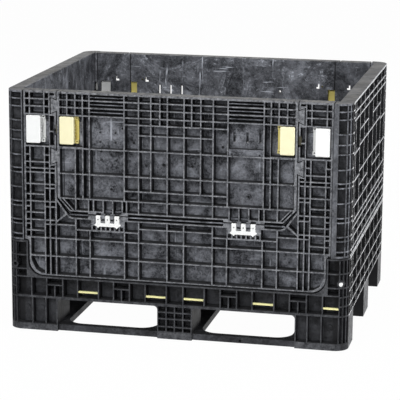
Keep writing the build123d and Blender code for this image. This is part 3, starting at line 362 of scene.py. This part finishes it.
def aged_over(s, body, where, at, facing, streaks, rim, dusty):
    """Dust on what looks up, the stacking rim worn in streaks across it, painted shade in the seams.
    """
    (x, y, z), (nx, ny, nz) = at, facing
    up = s.between(nz, 0.55, 0.9)
    settle = up * s.between(s.noise(where, 30.0, 4.0, 0.6), 0.30, 0.7)
    body = s.blend(settle * dusty, body, DUST)
    edge = s.between(z, RIM_Z - 0.0015, RIM_Z - 0.0005) * up
    body = s.blend(edge * 0.78, body, SOOT)
    worn = edge * (s.noise(s.stretch(where, streaks), 1.0, 6.0, 0.75) * 3.0 - 1.15)
    body = s.blend((worn * rim).most(0.0).least(1.0), body, WORN)
    # painted shade in the gap between door and wall
    return s.blend(seam_shade_mask(s, x, y, z, ny, nz) * 0.9, body, NEAR_BLACK), edge


# %% The moulding's finish
def moulding(name, outer_y, outer_x=None, scuffed=1.0, rubbed=1.0, rim=0.5, dusty=0.5, darkened=0.0,
             bloomed=0.5, pierced=False):
    """The layers in their order, with the skin's ripple and grain as bumps."""
    s = Shader(name)
    where, at = s.axes()
    _, facing = s.axes("Normal")
    (x, y, z), (nx, ny, nz) = at, facing
    inner = inner_mask(s, x, y, nx, ny)

    body, swirl = moulded(s, where, inner)
    body, patch, marks = scuffed_over(s, body, where, inner, scuffed, bloomed)
    # painted shade: the inner faces of the load space darken towards its floor
    body = s.blend(s.between(z, DEEP_FROM, DEEP_TO) * inner * 0.8, body, NEAR_BLACK)
    # painted shade: the sides of the ribs in the pockets are darkened
    sides = rib_side_shade_mask(s, x, y, nx, ny) * s.between(z, RIM_Z - 0.0005, RIM_Z - 0.002)
    # base and runner are also darkened all over, less on the faces of the load space
    body = s.blend((sides * 0.93).most((1.0 - 0.7 * inner) * darkened), body, NEAR_BLACK)
    body = rubbed_over(s, body, where, at, facing, outer_y, outer_x, rubbed)
    streaks = (70.0, 14.0, 1.0) if outer_x is None else (14.0, 70.0, 1.0)
    body, edge = aged_over(s, body, where, at, facing, streaks, rim, dusty)
    if pierced:
        # painted shade: the door's small holes are dark spots, and its stud tips, rings and dots are
        # darkened
        body = s.blend(hole_shade_mask(s, x, y, z) * 0.95, body, NEAR_BLACK)

    rough = (0.60 - 0.12 * swirl + 0.12 * patch * scuffed + 0.2 * edge).least(0.85)
    normal = s.bump(s.noise(where, 60.0, 3.0, 0.5), 0.40, 0.0018)
    normal = s.bump(s.noise(where, 900.0, 2.0, 0.5) + marks * 0.6, 0.30, 0.0004, normal)
    return s.finish(body, rough, normal, Specular_IOR_Level=0.18)


foam_wall = moulding("foam_wall", OUTER_WALL, rubbed=0.9, rim=0.6, bloomed=0.4)
foam_door = moulding("foam_door", OUTER_WALL, rubbed=0.9, rim=0.6, bloomed=1.0, pierced=True)
foam_end = moulding("foam_end", OUTER_D, OUTER_L, scuffed=0.8, rubbed=0.2, rim=0.6,
                    bloomed=0.35)
foam_base = moulding("foam_base", OUTER_D, OUTER_L, scuffed=0.45, rubbed=0.20, rim=0.0,
                     dusty=0.2, darkened=0.82)
foam_runner = moulding("foam_runner", OUTER_D, OUTER_L, scuffed=0.40, rubbed=0.3, rim=0.0,
                       dusty=0.2, darkened=0.76)
print("foam finishes for wall, door, end wall, base and runner")

# %% [markdown]
# ## Latches, brackets and markers
# The small parts are solid polyethylene in plain white and yellow. They are cleaner and
# smoother than the foam, with spots of grime, and their low places get painted shade: the
# yellow latch is darker on its sunk side strip than on its face, read from the depth.
# Its bolt, where it reaches over the door's edge into the wall, is black with grease.

# %% Plain plastics
WHITE = (0.88, 0.89, 0.88, 1.0)
WHITE_SHADED = (0.80, 0.81, 0.80, 1.0)
STAIN = (0.45, 0.45, 0.43, 1.0)
CREAM = (0.91, 0.86, 0.57, 1.0)
AMBER_SHADED = (0.80, 0.68, 0.20, 1.0)
MARKER = (0.90, 0.86, 0.42, 1.0)
GREASE = (0.030, 0.028, 0.024, 1.0)
STEEL = (0.42, 0.42, 0.43, 1.0)
DOOR_EDGE, BOLT_OUT = 0.424, 0.022


def small_part(name, face, low, low_depth, face_depth):
    """Colour goes from low, a painted shade of the face colour, to face as the distance from the
    middle plane grows between two depths.
    """
    s = Shader(name)
    where, (x, y, z) = s.axes()
    raised = s.between(y.size(), low_depth, face_depth)
    cloud = s.noise(where, 45.0, 4.0, 0.6)
    grime = s.between(s.noise(where, 120.0, 4.0, 0.7), 0.62, 0.80) * 0.35
    # painted shade: the sunk parts take the darker low colour
    colour = s.blend((raised * (0.85 + 0.3 * cloud)).least(1.0), low, face)
    colour = s.blend(grime, colour, STAIN)
    bolt = band_mask(s, x.size(), DOOR_EDGE, DOOR_EDGE + BOLT_OUT, 0.001)
    colour = s.blend(bolt * 0.93, colour, GREASE)
    normal = s.bump(s.noise(where, 700.0, 2.0, 0.5), 0.15, 0.0003)
    return s.finish(colour, 0.34 + 0.15 * cloud, normal)


def steel_pin(name):
    """Drawn steel: fine rings along the pin vary the roughness."""
    s = Shader(name)
    where, _ = s.axes()
    drawn = s.noise(s.stretch(where, (40.0, 900.0, 900.0)), 1.0, 2.0)
    return s.finish(STEEL, 0.28 + 0.2 * drawn, Metallic=1.0)


white_plastic = small_part("white_plastic", WHITE, WHITE_SHADED, 0.470, 0.488)
yellow_plastic = small_part("yellow_plastic", CREAM, AMBER_SHADED, 0.476, 0.492)
marker_plastic = small_part("marker_plastic", MARKER, MARKER, 0.470, 0.488)
pin_steel = steel_pin("pin_steel")

# %% Give every solid its finish
FINISHES = (
    ("_pins", pin_steel), ("hinge_pin", pin_steel), ("_plug", white_plastic),
    ("_strips", marker_plastic),
    ("wall_latch", white_plastic), ("door_latch", yellow_plastic), ("hinge", white_plastic),
    ("runner", foam_runner), ("rail", foam_runner), ("end_wall", foam_end),
    ("base", foam_base), ("wall", foam_wall), ("door", foam_door),
)


def finish_for(node_name):
    """The first finish whose word is in the node's name."""
    return next(material for word, material in FINISHES if word in node_name)


for node_name, node in nodes.items():
    node.data.materials.clear()
    node.data.materials.append(finish_for(node_name))
print({name: node.data.materials[0].name for name, node in nodes.items()})

# %% [markdown]
# ## Floor and light
# The stage is a pale floor, a white surround that the camera sees as plain white, and large
# soft lamps. What the camera sees of the surround and what lights the object are separate, so
# a black object can stand on white without being bleached by it.

# %% Floor and surround
FLOOR_REACH = 14.0
FLOOR_Z = -0.0004
FLOOR_LINES = 8
SHOWN_TO = ("Camera", "Glossy", "Transmission")   # the rays that meet a white surround
SHOWN_SHARE = 0.98
PAPER = (0.80, 0.80, 0.80, 1.0)
PURE_WHITE = (1.0, 1.0, 1.0, 1.0)
SOFT_LIGHT, SOFT_STRENGTH = (0.95, 0.97, 1.0, 1.0), 0.22


def floor_grid(reach, lines):
    """A flat square grid just under the ground: x and y run evenly from -reach to reach."""
    line = np.linspace(-reach, reach, lines)
    x, y = np.meshgrid(line, line)
    points = np.stack([x.ravel(), y.ravel(), np.full(x.size, FLOOR_Z)], axis=1)
    index = np.arange(lines * lines).reshape(lines, lines)
    quads = np.stack([index[:-1, :-1], index[:-1, 1:], index[1:, 1:], index[1:, :-1]], axis=-1)
    return points, quads.reshape(-1, 4)


floor_mesh = bpy.data.meshes.new("floor")
points, quads = floor_grid(FLOOR_REACH, FLOOR_LINES)
floor_mesh.from_pydata(points.tolist(), [], quads.tolist())
floor = bpy.data.objects.new("floor", floor_mesh)
bpy.context.scene.collection.objects.link(floor)

s = Shader("floor_paper")
paper = s.add("ShaderNodeBsdfPrincipled", values={
    "Base Color": PAPER, "Roughness": 0.9, "Specular IOR Level": 0.1,
})
glow = s.add("ShaderNodeEmission", values={"Color": PURE_WHITE, "Strength": 1.0})
rays = [s.add("ShaderNodeLightPath", out=f"Is {kind} Ray") for kind in SHOWN_TO]
seen = rays[0].most(rays[1]).most(rays[2])
s.add_output(s.add("ShaderNodeMixShader", values={0: seen * SHOWN_SHARE, 1: paper, 2: glow}))
floor_mesh.materials.append(s.material)

world = bpy.data.worlds.new("surround")
world.use_nodes = True
bpy.context.scene.world = world
tree = world.node_tree
tree.nodes.clear()
path = tree.nodes.new("ShaderNodeLightPath")
shown = [path.outputs[f"Is {kind} Ray"] for kind in SHOWN_TO]
for _ in shown[1:]:
    either = tree.nodes.new("ShaderNodeMath")
    either.operation = "MAXIMUM"
    tree.links.new(shown.pop(), either.inputs[0])
    tree.links.new(shown.pop(), either.inputs[1])
    shown.append(either.outputs[0])
lit = tree.nodes.new("ShaderNodeBackground")
white = tree.nodes.new("ShaderNodeBackground")
pick = tree.nodes.new("ShaderNodeMixShader")
out = tree.nodes.new("ShaderNodeOutputWorld")
lit.inputs["Color"].default_value = SOFT_LIGHT
lit.inputs["Strength"].default_value = SOFT_STRENGTH
white.inputs["Color"].default_value = PURE_WHITE
white.inputs["Strength"].default_value = 1.0
tree.links.new(shown[0], pick.inputs[0])
tree.links.new(lit.outputs[0], pick.inputs[1])
tree.links.new(white.outputs[0], pick.inputs[2])
tree.links.new(pick.outputs[0], out.inputs["Surface"])
print("floor", FLOOR_REACH * 2, "m wide")


# %% Lamps
def lamp(name, at, aim, size, watts):
    """A square area lamp: its back direction is from aim to at, and its matrix is built from it."""
    data = bpy.data.lights.new(name, "AREA")
    data.shape = "SQUARE"
    data.size = size
    data.energy = watts
    back = np.subtract(at, aim).astype(float)
    back /= np.linalg.norm(back)
    right = np.cross((0.0, 0.0, 1.0), back)
    right /= np.linalg.norm(right)
    matrix = np.eye(4)
    matrix[:3, 0] = right
    matrix[:3, 1] = np.cross(back, right)
    matrix[:3, 2] = back
    matrix[:3, 3] = at
    made = bpy.data.objects.new(name, data)
    bpy.context.scene.collection.objects.link(made)
    made.matrix_world = Matrix(matrix.tolist())
    return made


MIDDLE = (0.0, 0.0, 0.45)
LAMPS = {                               # place, width in metres, watts
    "key": ((-0.9, -4.9, 3.4), 1.8, 112.0),
    "front": ((1.6, -5.6, 1.9), 2.4, 42.0),
    "side": ((4.8, -1.6, 2.4), 1.8, 165.0),
    "top": ((0.2, -0.6, 4.4), 2.2, 62.0),
    "rear": ((-1.5, 4.8, 2.6), 2.2, 66.0),
}
for lamp_name, (at, width, watts) in LAMPS.items():
    lamp(lamp_name, at, MIDDLE, width, watts)

scene = bpy.context.scene
scene.view_settings.view_transform = "Standard"
print(len(LAMPS), "lamps")
